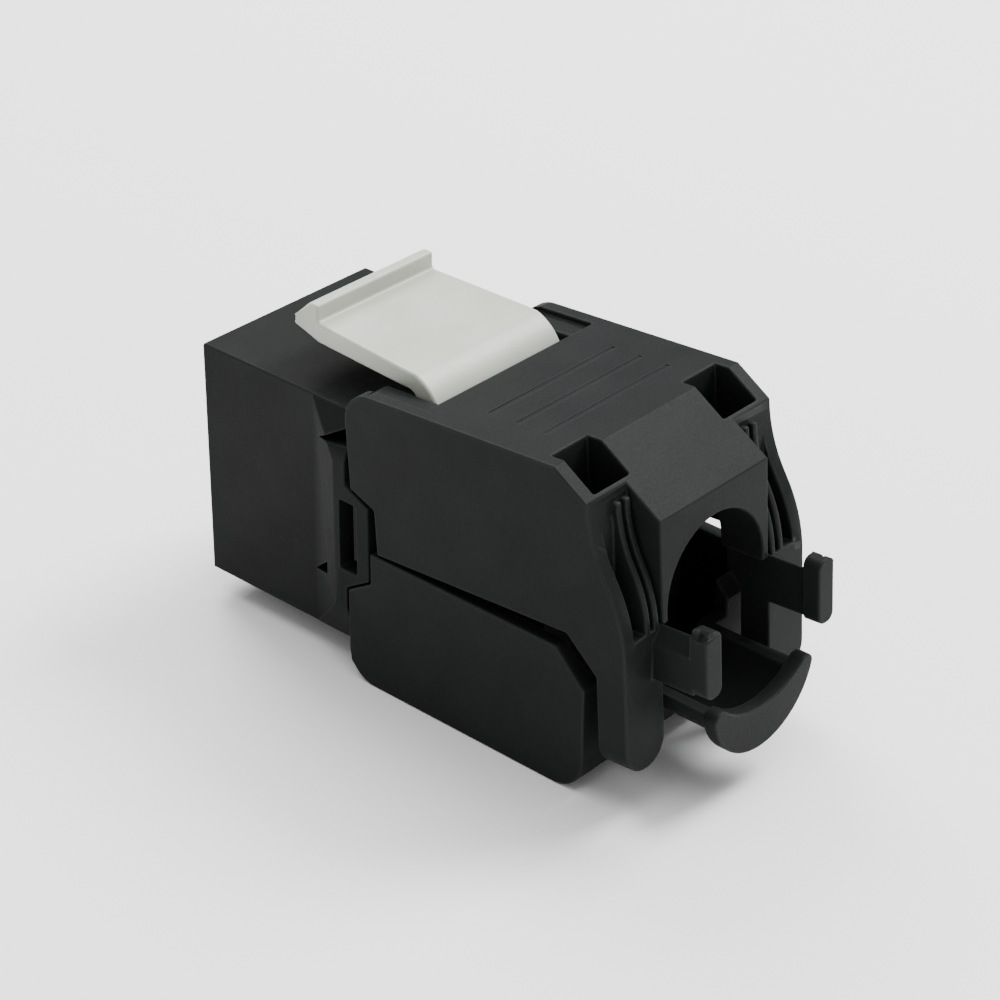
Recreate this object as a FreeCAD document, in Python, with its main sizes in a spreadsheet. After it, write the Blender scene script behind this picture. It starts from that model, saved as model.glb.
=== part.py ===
import FreeCAD, Part
import Sketcher
import math
import os

# Unshielded tool-free keystone jack, 180 degree cable entry.
#
# Frame: X across the jack, Y from the plug face (y = 0) back to the cable, Z up.
# z = 0 is the middle plane of the front housing and of the circuit board.
# Both wiring covers are drawn closed; the upper one is then swung open by ajar_angle
# about its own hinge line, which is how the jack stands at rest.

DRIVING_SIZES = {
    # Front housing, which passes through the panel cut-out
    "housing_width": 14.5, "housing_height": 16.4, "housing_length": 13.25,
    "flare_length": 3.75, "flare_land": 0.95, "flare_margin": 3.0,
    "stop_lug_width": 6.0, "stop_lug_setback": 5.05, "stop_lug_length": 1.6, "stop_lug_height": 1.1,
    # Plug port
    "port_width": 11.9, "port_height": 6.8, "port_floor": -4.6, "port_back_room": 0.95,
    "key_width": 6.1, "key_depth": 1.4, "catch_width": 3.3, "catch_depth": 1.0, "key_reach": 7.5,
    "roof_wall": 1.3, "comb_room_start": 1.9,
    # Side ears of the housing with their snap windows
    "ear_length": 1.9, "ear_thickness": 1.25, "ear_root_top": 3.7, "ear_tip_top": 2.78,
    "ear_root_bottom": -3.6, "ear_tip_bottom": -2.44,
    "window_lead": 0.5, "window_length": 1.4, "window_top": 2.5, "window_bottom": -2.35,
    "window_depth": 1.8,
    "notch_reach": 2.85, "notch_floor": 5.7, "notch_slope": 32.0, "recess_depth": 1.05,
    "dimple_lead": 3.8, "dimple_length": 1.72, "dimple_low": -4.26, "dimple_top": -2.8,
    "dimple_back": -3.7,
    # Hinges of the two covers
    "corner_radius": 2.1, "lug_radius": 0.95, "lug_gap": 0.3, "lug_thickness": 1.1,
    "lug_web_drop": 3.6, "pin_radius": 0.75, "pin_reach": 0.85, "pin_clearance": 0.08,
    # Deck behind the housing that takes the latch root
    "deck_length": 5.35, "deck_skin": 0.45, "deck_margin": 0.15,
    "barrel_radius": 0.75, "barrel_clearance": 0.1, "barrel_setback": 1.3, "barrel_depth": 1.0,
    "neck_thickness": 1.2, "neck_slot": 1.75,
    # Release latch
    "latch_taper": 0.6, "latch_side_gap": 0.4, "latch_reach": 9.5, "latch_rise": 2.05,
    "latch_plate_thickness": 1.35, "rib_lead": 2.05, "rib_width": 0.7,
    "rib_height": 1.15, "latch_back_radius": 3.15, "latch_lift": 0.25,
    # Covers
    "cover_width": 16.8, "cheek_wall": 1.0, "cover_top": 10.45, "cover_bottom": -9.95,
    "plate_wall": 1.0, "seam_gap": 0.15, "parting_z": -0.25, "ajar_angle": 4.0,
    "arm_drop": 0.4, "arm_lead": 0.9, "latch_gap": 0.25, "plate_setback": 3.85,
    "chamfer_run": 4.8, "cheek_chamfer_run": 2.35, "chamfer_angle": 36.0,
    "cover_run": 19.2, "sweep_end_z": -0.6, "cover_step_z": -2.35, "cover_step_run": 2.15,
    # Rear block of the upper cover
    "block_half": 4.95, "block_floor": 0.3, "block_length": 3.2, "arch_radius": 4.45,
    "arch_height": 0.9, "chute_wall": 0.8, "chute_floor": 5.6, "pocket_inner": 4.3,
    "pocket_length": 3.05, "pocket_rim": 0.5,
    "web_inset": 1.4, "web_thickness": 0.42, "web_setback": 0.35, "web_pitch": 0.75,
    "foot_inner": 5.0, "foot_depth": 2.2, "foot_bottom": -8.5, "foot_flat": 0.1,
    "top_groove_width": 0.35, "top_groove_depth": 0.05, "top_groove_pitch": 2.1,
    "top_groove_lead": 6.95, "top_groove_half": 5.6,
    # Tie hooks
    "hook_inner": 5.0, "hook_thickness": 1.0, "hook_low": -2.8, "hook_high": 0.45,
    "hook_bevel": 0.9, "hook_length": 2.75, "head_width": 1.4, "head_depth": 1.25,
    "head_low": -2.9, "head_high": 1.4, "head_round": 0.6, "head_groove": 0.3,
    # Lower cover with its cable trough
    "foot_gap": 0.15, "lower_round": 2.3, "lower_step_z": -2.5, "lower_step_run": 2.15,
    "trough_outer": 4.15, "trough_wall": 0.75, "trough_centre": -2.7, "trough_rim": -3.75,
    "trough_length": 6.75, "lip_depth": 1.0, "lip_outer": 4.75, "lip_rim": -3.1,
    "lip_radius": 5.6, "lip_centre": 1.05, "lip_shoulder": 0.55,
    # Circuit board and terminal blocks
    "board_gap": 1.0, "board_thickness": 1.6, "board_end_gap": 0.5,
    "block_lead": 3.5, "block_height": 5.6, "channel_width": 1.1, "channel_floor": 2.6,
    "terminal_width": 2.2, "terminal_thickness": 0.4,
    "terminal_height": 5.2, "terminal_slot": 0.36, "terminal_slot_floor": 2.5,
    "terminal_clearance": 0.1, "terminal_lead": 2.2, "terminal_setback": 3.0,
    # Wire combs under the covers
    "comb_gap": 0.5, "comb_rib_width": 0.8, "comb_rib_drop": 1.5, "comb_notch": 1.7,
    "comb_inset": 0.1,
    # Contact carrier and plug contacts
    "carrier_clearance": 0.1, "carrier_wall": 1.7, "carrier_comb_depth": 3.6,
    "carrier_slot": 0.56, "carrier_slot_rise": 0.4, "carrier_slot_drop": 2.4,
    "snap_inset": 0.7, "snap_length": 0.7, "snap_height": 3.9,
    "contact_pitch": 1.016, "contact_width": 0.35, "contact_run_drop": 1.6,
    "contact_front": 3.2, "contact_tail": 1.0, "contact_reach": 3.65, "contact_tip_z": 1.0,
}
CONTACTS = 8
TERMINALS = 4
TOP_GROOVES = 3


class Size:
    """A length with its value and the sheet formula that it is bound by."""

    def __init__(self, value, formula):
        self.value = float(value)
        self.formula = formula

    def __float__(self):
        return self.value

    def __add__(self, other):
        other = as_size(other)
        return Size(self.value + other.value, f"({self.formula} + {other.formula})")

    def __sub__(self, other):
        other = as_size(other)
        return Size(self.value - other.value, f"({self.formula} - {other.formula})")

    def __mul__(self, other):
        other = as_size(other)
        return Size(self.value * other.value, f"({self.formula} * {other.formula})")

    def __truediv__(self, other):
        other = as_size(other)
        return Size(self.value / other.value, f"({self.formula} / {other.formula})")

    def __neg__(self):
        return Size(-self.value, f"(0 - {self.formula})")

    def __radd__(self, other):
        return as_size(other) + self

    def __rsub__(self, other):
        return as_size(other) - self

    def __rmul__(self, other):
        return as_size(other) * self


def as_size(number):
    return number if isinstance(number, Size) else Size(number, f"({float(number)})")


def root(size):
    return Size(math.sqrt(size.value), f"sqrt({size.formula})")


def sine(angle):
    return Size(math.sin(math.radians(angle.value)), f"sin({angle.formula})")


def cosine(angle):
    return Size(math.cos(math.radians(angle.value)), f"cos({angle.formula})")


def tangent(angle):
    return Size(math.tan(math.radians(angle.value)), f"tan({angle.formula})")


document = FreeCAD.newDocument("keystone_jack")
sheet = document.addObject("Spreadsheet::Sheet", "Sizes")
for row, (alias, number) in enumerate(DRIVING_SIZES.items(), start=1):
    sheet.set(f"A{row}", alias)
    sheet.set(f"B{row}", str(number))
    sheet.setAlias(f"B{row}", alias)
document.recompute()


class Sizes:
    """Gives each driving size by its name."""

    def __getattr__(self, alias):
        return Size(DRIVING_SIZES[alias], f"Sizes.{alias}")


s = Sizes()

# Places that several pieces share
HALF_WIDTH = s.housing_width / 2
HALF_HEIGHT = s.housing_height / 2
COVER_HALF = s.cover_width / 2
CHEEK_INNER = COVER_HALF - s.cheek_wall
LUG_OUTER = CHEEK_INNER - s.lug_gap
LUG_INNER = LUG_OUTER - s.lug_thickness
LATCH_REAR_HALF = LUG_INNER - s.latch_side_gap
LATCH_FRONT_HALF = LATCH_REAR_HALF - s.latch_taper
DECK_HALF = LATCH_REAR_HALF + s.deck_margin
COVER_FRONT = s.housing_length + s.seam_gap
HINGE_Y = COVER_FRONT + s.corner_radius
UPPER_HINGE_Z = s.cover_top - s.corner_radius
LOWER_HINGE_Z = s.cover_bottom + s.corner_radius
PLATE_UNDER = s.cover_top - s.plate_wall
LOWER_PLATE_OVER = s.cover_bottom + s.plate_wall
PLATE_FRONT = HINGE_Y + s.plate_setback
ARM_FRONT = HINGE_Y - s.arm_lead
FLARE_FULL = s.housing_length - s.flare_land
EAR_END = s.housing_length + s.ear_length
LUG_ROOT = s.housing_length - 0.5
UPPER_EDGE = s.parting_z + s.seam_gap / 2
LOWER_EDGE = s.parting_z - s.seam_gap / 2
EAR_TOP_SLOPE = (s.ear_root_top - s.ear_tip_top) / s.ear_length
EAR_BOTTOM_SLOPE = (s.ear_tip_bottom - s.ear_root_bottom) / s.ear_length
# Latch root
DECK_END = s.housing_length + s.deck_length
BARREL_Y = DECK_END - s.barrel_setback
BARREL_Z = HALF_HEIGHT - s.barrel_depth
SEAT_RADIUS = s.barrel_radius + s.barrel_clearance
LATCH_PLATE_Z = HALF_HEIGHT + s.latch_rise
# Rear of the upper cover
COVER_END = HINGE_Y + s.cover_run
CHAMFER_START = COVER_END - s.chamfer_run
CHAMFER_SLOPE = tangent(s.chamfer_angle)
CHEEK_CORNER = CHAMFER_START + s.cheek_chamfer_run
BLOCK_FRONT = COVER_END - s.block_length
FOOT_FRONT = COVER_END - s.foot_depth
FOOT_ROUND = (COVER_HALF - s.foot_inner - s.foot_flat) / 2
CHANNEL_FRONT = CHEEK_CORNER + s.pocket_rim * 0.4
POCKET_BACK = CHANNEL_FRONT - s.pocket_rim
POCKET_FRONT = POCKET_BACK - s.pocket_length
CHUTE_FRONT = POCKET_FRONT - s.chute_wall
HOOK_END = COVER_END + s.hook_length
# Rear of the lower cover
LOWER_END = FOOT_FRONT - s.foot_gap
TROUGH_END = LOWER_END + s.trough_length
# Inside
PORT_TOP = s.port_floor + s.port_height
PORT_DEPTH = s.housing_length - s.port_back_room
COMB_ROOM_TOP = HALF_HEIGHT - s.roof_wall
CARRIER_END = PORT_DEPTH + s.carrier_wall
CONTACT_RUN_Z = COMB_ROOM_TOP - s.contact_run_drop
BOARD_HALF = CHEEK_INNER - s.board_gap
BOARD_FACE = s.board_thickness / 2
BOARD_END = CHUTE_FRONT - s.board_end_gap
BLOCK_START = HINGE_Y + s.block_lead
BLOCK_TOP = BOARD_FACE + s.block_height
TERMINAL_PITCH = BOARD_HALF / 2

pieces = []


def new_body(label):
    body = document.addObject("PartDesign::Body", label)
    body.Label = label
    pieces.append(body)
    return body


def new_sketch(body, plane_role, offset=0.0):
    """A sketch on one of the body's own origin planes, moved along the plane's normal."""
    plane = next(item for item in body.Origin.OriginFeatures if item.Role == plane_role)
    sketch = body.newObject("Sketcher::SketchObject", f"{body.Label}_sketch")
    sketch.AttachmentSupport = [(plane, "")]
    sketch.MapMode = "FlatFace"
    offset = as_size(offset)
    sketch.AttachmentOffset = FreeCAD.Placement(FreeCAD.Vector(0, 0, float(offset)), FreeCAD.Rotation())
    sketch.setExpression("AttachmentOffset.Base.z", offset.formula)
    return sketch


def bind_point(sketch, edge, end, across, up):
    """Fix one end of an edge at the sheet's values."""
    for kind, place in (("DistanceX", as_size(across)), ("DistanceY", as_size(up))):
        index = sketch.addConstraint(Sketcher.Constraint(kind, -1, 1, edge, end, float(place)))
        sketch.setExpression(f"Constraints[{index}]", place.formula)


def draw(sketch, *steps):
    """Draw one closed outline.

    A step (across, up) is a corner reached by a straight edge. A step
    (across, up, radius, turn) is reached by an arc of that radius, turn 1 being
    anticlockwise and -1 clockwise.
    """
    corners = [(as_size(step[0]), as_size(step[1])) for step in steps]
    ends = []
    for number, step in enumerate(steps):
        start = FreeCAD.Vector(float(corners[number - 1][0]), float(corners[number - 1][1]), 0)
        finish = FreeCAD.Vector(float(corners[number][0]), float(corners[number][1]), 0)
        if len(step) == 2:
            edge = sketch.addGeometry(Part.LineSegment(start, finish))
            ends.append((edge, 1, 2))
            continue
        radius = as_size(step[2])
        turn = step[3]
        chord = finish - start
        rise = math.sqrt(max(float(radius) ** 2 - (chord.Length / 2) ** 2, 0.0))
        side = FreeCAD.Vector(-chord.y, chord.x, 0).normalize() * turn
        centre = start + chord * 0.5 + side * rise
        first, last = (start, finish) if turn > 0 else (finish, start)
        first_angle = math.atan2(first.y - centre.y, first.x - centre.x)
        last_angle = math.atan2(last.y - centre.y, last.x - centre.x)
        if last_angle <= first_angle:
            last_angle += 2 * math.pi
        circle = Part.Circle(centre, FreeCAD.Vector(0, 0, 1), float(radius))
        edge = sketch.addGeometry(Part.ArcOfCircle(circle, first_angle, last_angle))
        index = sketch.addConstraint(Sketcher.Constraint("Radius", edge, float(radius)))
        sketch.setExpression(f"Constraints[{index}]", radius.formula)
        ends.append((edge, 1, 2) if turn > 0 else (edge, 2, 1))
    for number, (edge, start_end, finish_end) in enumerate(ends):
        next_edge, next_start, _ = ends[(number + 1) % len(ends)]
        sketch.addConstraint(Sketcher.Constraint("Coincident", edge, finish_end, next_edge, next_start))
        bind_point(sketch, edge, finish_end, *corners[number])
    return sketch


def rectangle(sketch, left, right, low, high):
    return draw(sketch, (left, low), (right, low), (right, high), (left, high))


def circle(sketch, across, up, radius):
    radius = as_size(radius)
    centre = FreeCAD.Vector(float(across), float(up), 0)
    edge = sketch.addGeometry(Part.Circle(centre, FreeCAD.Vector(0, 0, 1), float(radius)))
    index = sketch.addConstraint(Sketcher.Constraint("Radius", edge, float(radius)))
    sketch.setExpression(f"Constraints[{index}]", radius.formula)
    bind_point(sketch, edge, 3, across, up)
    return sketch


def pad(body, sketch, length, side_type="One side", reverse=False):
    feature = body.newObject("PartDesign::Pad", f"{body.Label}_pad")
    return extrude(feature, sketch, length, side_type, reverse)


def pocket(body, sketch, length, side_type="One side", reverse=False):
    feature = body.newObject("PartDesign::Pocket", f"{body.Label}_pocket")
    return extrude(feature, sketch, length, side_type, reverse)


def extrude(feature, sketch, length, side_type, reverse):
    length = as_size(length)
    feature.Profile = sketch
    feature.SideType = side_type
    feature.Reversed = reverse
    feature.Length = float(length)
    feature.setExpression("Length", length.formula)
    sketch.Visibility = False
    return feature


def across(body, steps, width, cut=False):
    """Extrude a side outline equally both ways from the middle plane."""
    sketch = draw(new_sketch(body, "YZ_Plane"), *steps)
    return (pocket if cut else pad)(body, sketch, width, "Symmetric")


def on_both_sides(body, steps, inner, outer, cut=False):
    """Extrude a side outline outwards from inner to outer on the left and the right."""
    for side in (1, -1):
        sketch = draw(new_sketch(body, "YZ_Plane", side * inner), *steps)
        feature = pocket if cut else pad
        feature(body, sketch, outer - inner, reverse=(side > 0) == cut)


def along(body, outlines, start, end, cut=False):
    """Extrude front-view outlines from y = start to y = end."""
    sketch = new_sketch(body, "XZ_Plane", -as_size(start))
    for steps in outlines:
        draw(sketch, *steps)
    feature = pocket if cut else pad
    return feature(body, sketch, as_size(end) - start, reverse=not cut)


def upwards(body, outlines, low, high, cut=False):
    """Extrude plan-view outlines from z = low to z = high."""
    sketch = new_sketch(body, "XY_Plane", low)
    for steps in outlines:
        draw(sketch, *steps)
    feature = pocket if cut else pad
    return feature(body, sketch, as_size(high) - low, reverse=cut)


def box_steps(left, right, low, high):
    return ((left, low), (right, low), (right, high), (left, high))


def mirrored_boxes(inner, outer, low, high):
    """The same rectangle on the left and on the right."""
    return [box_steps(inner, outer, low, high), box_steps(-outer, -inner, low, high)]


def place(body, x=0.0, y=0.0, z=0.0, axis=(1, 0, 0), angle=0.0):
    angle = as_size(angle)
    rotation = FreeCAD.Rotation(FreeCAD.Vector(*axis), float(angle))
    body.Placement = FreeCAD.Placement(FreeCAD.Vector(float(x), float(y), float(z)), rotation)
    for name, distance in (("x", x), ("y", y), ("z", z)):
        body.setExpression(f"Placement.Base.{name}", as_size(distance).formula)
    if angle.value:
        body.setExpression("Placement.Rotation.Angle", angle.formula)


def swing_open(body):
    """Swing a closed upper-cover piece about the upper hinge line by the ajar angle."""
    turn = s.ajar_angle
    y = HINGE_Y - (HINGE_Y * cosine(turn) - UPPER_HINGE_Z * sine(turn))
    z = UPPER_HINGE_Z - (HINGE_Y * sine(turn) + UPPER_HINGE_Z * cosine(turn))
    place(body, y=y, z=z, angle=turn)


def make_front_housing():
    """Moulded front shell: port, flared sides, snap ears, hinge lugs and the latch deck."""
    body = new_body("front_housing")
    along(body, [box_steps(-HALF_WIDTH, HALF_WIDTH, -HALF_HEIGHT, HALF_HEIGHT)], 0, s.housing_length)
    add_flares(body)
    ear = ((FLARE_FULL, s.ear_root_bottom), (s.housing_length, s.ear_root_bottom),
           (EAR_END, s.ear_tip_bottom), (EAR_END, s.ear_tip_top),
           (s.housing_length, s.ear_root_top), (FLARE_FULL, s.ear_root_top))
    on_both_sides(body, ear, (COVER_HALF - s.ear_thickness), COVER_HALF)
    make_hinge_lugs(body)
    deck_floor = BARREL_Z - SEAT_RADIUS - s.deck_skin
    deck = box_steps(-DECK_HALF, DECK_HALF, deck_floor, HALF_HEIGHT)
    along(body, [deck], LUG_ROOT, DECK_END)
    lug = box_steps(-s.stop_lug_width / 2, s.stop_lug_width / 2,
                    -HALF_HEIGHT - s.stop_lug_height, -HALF_HEIGHT)
    along(body, [lug], (s.housing_length - s.stop_lug_setback), (s.housing_length - s.stop_lug_setback) + s.stop_lug_length)
    cut_port(body)
    cut_side_details(body)
    cut_latch_socket(body)
    return body


def add_flares(body):
    """Swell both sides to the covers' width; hipped towards the front, the top and the bottom."""
    crest = HALF_HEIGHT - s.flare_margin
    outline = ((-COVER_HALF, -crest), (-HALF_WIDTH, -HALF_HEIGHT), (HALF_WIDTH, -HALF_HEIGHT),
               (COVER_HALF, -crest), (COVER_HALF, crest), (HALF_WIDTH, HALF_HEIGHT),
               (-HALF_WIDTH, HALF_HEIGHT), (-COVER_HALF, crest))
    along(body, [outline], (s.housing_length - s.flare_length), s.housing_length)
    beyond = COVER_HALF + 1
    ahead = (s.housing_length - s.flare_length) - 0.1
    slopes = [((side * HALF_WIDTH, ahead), (side * beyond, ahead), (side * beyond, FLARE_FULL),
               (side * COVER_HALF, FLARE_FULL), (side * HALF_WIDTH, (s.housing_length - s.flare_length)))
              for side in (1, -1)]
    upwards(body, slopes, -HALF_HEIGHT - 0.1, HALF_HEIGHT + 0.1, cut=True)


def make_hinge_lugs(body):
    """Two lugs above and two below, each with a trunnion for a cover's cheek."""
    for hinge_z, up in ((UPPER_HINGE_Z, 1), (LOWER_HINGE_Z, -1)):
        web_high = hinge_z - up * (s.lug_web_drop / 2)
        web_low = hinge_z - up * s.lug_web_drop
        steps = ((LUG_ROOT, web_low), (HINGE_Y + s.lug_radius, web_low),
                 (HINGE_Y + s.lug_radius, hinge_z),
                 (HINGE_Y, hinge_z + up * s.lug_radius, s.lug_radius, up),
                 (HINGE_Y - s.lug_radius, hinge_z, s.lug_radius, up),
                 (HINGE_Y - s.lug_radius, web_high), (LUG_ROOT, web_high - up * 0.4))
        on_both_sides(body, steps, LUG_INNER, LUG_OUTER)
        for side in (1, -1):
            pin = circle(new_sketch(body, "YZ_Plane", side * LUG_OUTER), HINGE_Y, hinge_z, s.pin_radius)
            pad(body, pin, s.pin_reach, reverse=side < 0)


def cut_port(body):
    """The plug port with its key way, and the room for the contact carrier behind it."""
    half_port = s.port_width / 2
    key_floor = s.port_floor - s.key_depth
    along(body, [box_steps(-half_port, half_port, s.port_floor, PORT_TOP)], 0, s.housing_length, cut=True)
    along(body, [box_steps(-s.key_width / 2, s.key_width / 2, key_floor, s.port_floor)],
          0, s.key_reach, cut=True)
    along(body, [box_steps(-s.catch_width / 2, s.catch_width / 2, key_floor - s.catch_depth, key_floor)],
          0, s.key_reach, cut=True)
    along(body, [box_steps(-half_port, half_port, PORT_TOP, COMB_ROOM_TOP)],
          s.comb_room_start, CARRIER_END + s.carrier_clearance, cut=True)


def cut_side_details(body):
    """Snap windows in the ears, the open notch above them and the small dimple in front."""
    beyond = COVER_HALF + 1
    window_start = s.housing_length - s.window_lead
    window = box_steps(window_start, window_start + s.window_length, s.window_bottom, s.window_top)
    on_both_sides(body, window, (COVER_HALF - s.window_depth), beyond, cut=True)
    notch_tip = s.housing_length - s.notch_reach
    past_end = s.housing_length + 0.2
    notch = ((notch_tip, s.notch_floor), (past_end, s.notch_floor + 0.5),
             (past_end, s.notch_floor + s.notch_reach * tangent(s.notch_slope)))
    on_both_sides(body, notch, (HALF_WIDTH - s.recess_depth), beyond, cut=True)
    dimple_start = s.housing_length - s.dimple_lead
    dimple_end = dimple_start + s.dimple_length
    dimple = ((dimple_start, s.dimple_low), (dimple_end, s.dimple_back), (dimple_end, s.dimple_top))
    on_both_sides(body, dimple, (HALF_WIDTH - s.recess_depth), beyond, cut=True)


def cut_latch_socket(body):
    """Keyhole groove across the deck: a round seat for the latch barrel and a slot for its neck."""
    seat = circle(new_sketch(body, "YZ_Plane"), BARREL_Y, BARREL_Z, SEAT_RADIUS)
    pocket(body, seat, 2 * LUG_INNER, "Symmetric")
    slot = box_steps(BARREL_Y - s.neck_slot / 2, BARREL_Y + s.neck_slot / 2, BARREL_Z, HALF_HEIGHT + 1)
    across(body, slot, 2 * LUG_INNER, cut=True)


def make_contact_carrier():
    """Insert that closes the back of the port and guides the eight plug contacts."""
    body = new_body("contact_carrier")
    half = s.port_width / 2 - s.carrier_clearance
    top = COMB_ROOM_TOP - s.carrier_clearance
    floor = s.port_floor + s.carrier_clearance
    along(body, [box_steps(-half, half, floor, top)], PORT_DEPTH, CARRIER_END)
    along(body, [box_steps(-half, half, top - s.carrier_comb_depth + s.carrier_clearance, top)],
          s.comb_room_start + s.carrier_clearance, PORT_DEPTH)
    middle = (s.window_top + s.window_bottom) / 2
    snap = mirrored_boxes(half, (COVER_HALF - s.snap_inset), middle - s.snap_height / 2, middle + s.snap_height / 2)
    along(body, snap, CARRIER_END - s.snap_length, CARRIER_END)
    slots = [box_steps(x - s.carrier_slot / 2, x + s.carrier_slot / 2,
                       CONTACT_RUN_Z - s.carrier_slot_drop, CONTACT_RUN_Z + s.carrier_slot_rise)
             for x in contact_places()]
    along(body, slots, 0, CARRIER_END, cut=True)
    return body


def contact_places():
    return [(number - (CONTACTS - 1) / 2) * s.contact_pitch for number in range(CONTACTS)]


def strip(points, thickness):
    """Outline of a bent strip of even thickness about a centre line, with mitred bends."""
    half = thickness / 2
    left = []
    right = []
    for number, (y, z) in enumerate(points):
        normals = []
        for start, end in ((number - 1, number), (number, number + 1)):
            if start < 0 or end >= len(points):
                continue
            run = points[end][0] - points[start][0]
            rise = points[end][1] - points[start][1]
            length = root(run * run + rise * rise)
            normals.append((-rise / length, run / length))
        if len(normals) == 2:
            (first_y, first_z), (last_y, last_z) = normals
            spread = 1 + first_y * last_y + first_z * last_z
            normal = ((first_y + last_y) / spread, (first_z + last_z) / spread)
        else:
            normal = normals[0]
        left.append((y + normal[0] * half, z + normal[1] * half))
        right.append((y - normal[0] * half, z - normal[1] * half))
    return tuple(left + right[::-1])


def make_plug_contact(number, x):
    """Spring wire: tail on the board, run through the carrier, then back down into the port."""
    body = new_body(f"plug_contact_{number}")
    tail_y = CARRIER_END + s.contact_tail
    tip_y = s.housing_length - s.contact_reach
    centre_line = [(tail_y, BOARD_FACE), (tail_y, CONTACT_RUN_Z),
                   (s.contact_front, CONTACT_RUN_Z), (s.contact_front - 0.4, CONTACT_RUN_Z - 0.7),
                   (tip_y, s.contact_tip_z)]
    across(body, strip(centre_line, s.contact_width), s.contact_width)
    place(body, x=x)
    return body


def make_circuit_board():
    body = new_body("circuit_board")
    upwards(body, [box_steps(-BOARD_HALF, BOARD_HALF, CARRIER_END, BOARD_END)],
            -BOARD_FACE, BOARD_FACE)
    return body


def terminal_places():
    """Centres of one row of terminals, in two staggered ranks."""
    ranks = (BLOCK_START + s.terminal_lead, BOARD_END - s.terminal_setback)
    places = []
    for number in range(TERMINALS):
        x = (number - (TERMINALS - 1) / 2) * TERMINAL_PITCH
        places.append((x, ranks[number % 2]))
    return places


def make_terminal_block(label, up):
    """Block with a wire channel and a terminal slot for each wire; up is 1 above the board."""
    body = new_body(label)
    half = BOARD_HALF
    across(body, box_steps(BLOCK_START, BOARD_END, 0, s.block_height), 2 * half)
    channels = [box_steps(x - s.channel_width / 2, x + s.channel_width / 2,
                          s.channel_floor, s.block_height + 1) for x, _ in terminal_places()]
    along(body, channels, BLOCK_START, BOARD_END, cut=True)
    gap = s.terminal_clearance
    slots = []
    for x, y in terminal_places():
        slots.append(box_steps(x - s.terminal_width / 2 - gap, x + s.terminal_width / 2 + gap,
                               y - s.terminal_thickness / 2 - gap, y + s.terminal_thickness / 2 + gap))
    upwards(body, slots, 0, s.block_height, cut=True)
    place(body, z=up * BOARD_FACE, axis=(0, 1, 0), angle=0 if up > 0 else 180)
    return body


def make_terminal(label, x, y, up):
    """Slotted blade that cuts through a wire's insulation, standing on the board."""
    body = new_body(label)
    half = s.terminal_width / 2
    slot = s.terminal_slot / 2
    mouth = slot + 0.4
    steps = ((-half, 0), (half, 0), (half, s.terminal_height), (mouth, s.terminal_height),
             (slot, s.terminal_height - 0.6), (slot, s.terminal_slot_floor),
             (-slot, s.terminal_slot_floor), (-slot, s.terminal_height - 0.6),
             (-mouth, s.terminal_height), (-half, s.terminal_height))
    along(body, [steps], -s.terminal_thickness / 2, s.terminal_thickness / 2)
    place(body, x=x, y=y, z=up * BOARD_FACE, axis=(0, 1, 0), angle=0 if up > 0 else 180)
    return body


def make_release_latch():
    """Sprung latch: wedge nose, finger rib, plate, rounded back and the barrel of its root."""
    body = new_body("release_latch")
    plate_top = LATCH_PLATE_Z + s.latch_plate_thickness
    back = s.latch_back_radius
    crest_y = HINGE_Y + back * cosine(Size(73, "73"))
    crest_z = UPPER_HINGE_Z + back * sine(Size(73, "73"))
    heel_y = HINGE_Y + back * cosine(Size(25, "25"))
    heel_z = UPPER_HINGE_Z + back * sine(Size(25, "25"))
    neck_front = BARREL_Y - s.neck_thickness / 2
    neck_back = BARREL_Y + s.neck_thickness / 2
    root_z = HALF_HEIGHT + s.latch_lift
    nose_y = HINGE_Y - s.latch_reach
    rib_start = nose_y + s.rib_lead - s.rib_width
    rib_end = nose_y + s.rib_lead
    rib_top = plate_top + s.rib_height
    nose_z = LATCH_PLATE_Z + 1.0
    steps = ((rib_end, LATCH_PLATE_Z),
             (neck_front - 0.8, LATCH_PLATE_Z - 0.1),
             (neck_front, LATCH_PLATE_Z - 0.9, 0.8, -1),
             (neck_front, BARREL_Z), (neck_back, BARREL_Z), (neck_back, root_z),
             (heel_y - 0.1, root_z), (heel_y, heel_z),
             (crest_y, crest_z, back, 1),
             (rib_end, plate_top), (rib_end, rib_top), (rib_start, rib_top),
             (nose_y + 0.15, nose_z + 0.35),
             (nose_y + 0.2, nose_z - 0.4, 0.42, 1))
    across(body, steps, 2 * LATCH_REAR_HALF)
    barrel = circle(new_sketch(body, "YZ_Plane"), BARREL_Y, BARREL_Z, s.barrel_radius)
    pad(body, barrel, 2 * LATCH_REAR_HALF, "Symmetric")
    wide = LATCH_REAR_HALF + 1
    taper = [((side * LATCH_FRONT_HALF, nose_y - 1), (side * wide, nose_y - 1),
              (side * wide, HINGE_Y), (side * LATCH_REAR_HALF, HINGE_Y))[::side] for side in (1, -1)]
    upwards(body, taper, LATCH_PLATE_Z - 1.5, rib_top + 1, cut=True)
    return body


def hinge_seats(body, hinge_z):
    """Blind holes in the cheeks for the housing's trunnions."""
    depth = LUG_OUTER + s.pin_reach + s.pin_clearance
    seats = circle(new_sketch(body, "YZ_Plane"), HINGE_Y, hinge_z, s.pin_radius + s.pin_clearance)
    pocket(body, seats, 2 * depth, "Symmetric")


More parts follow.
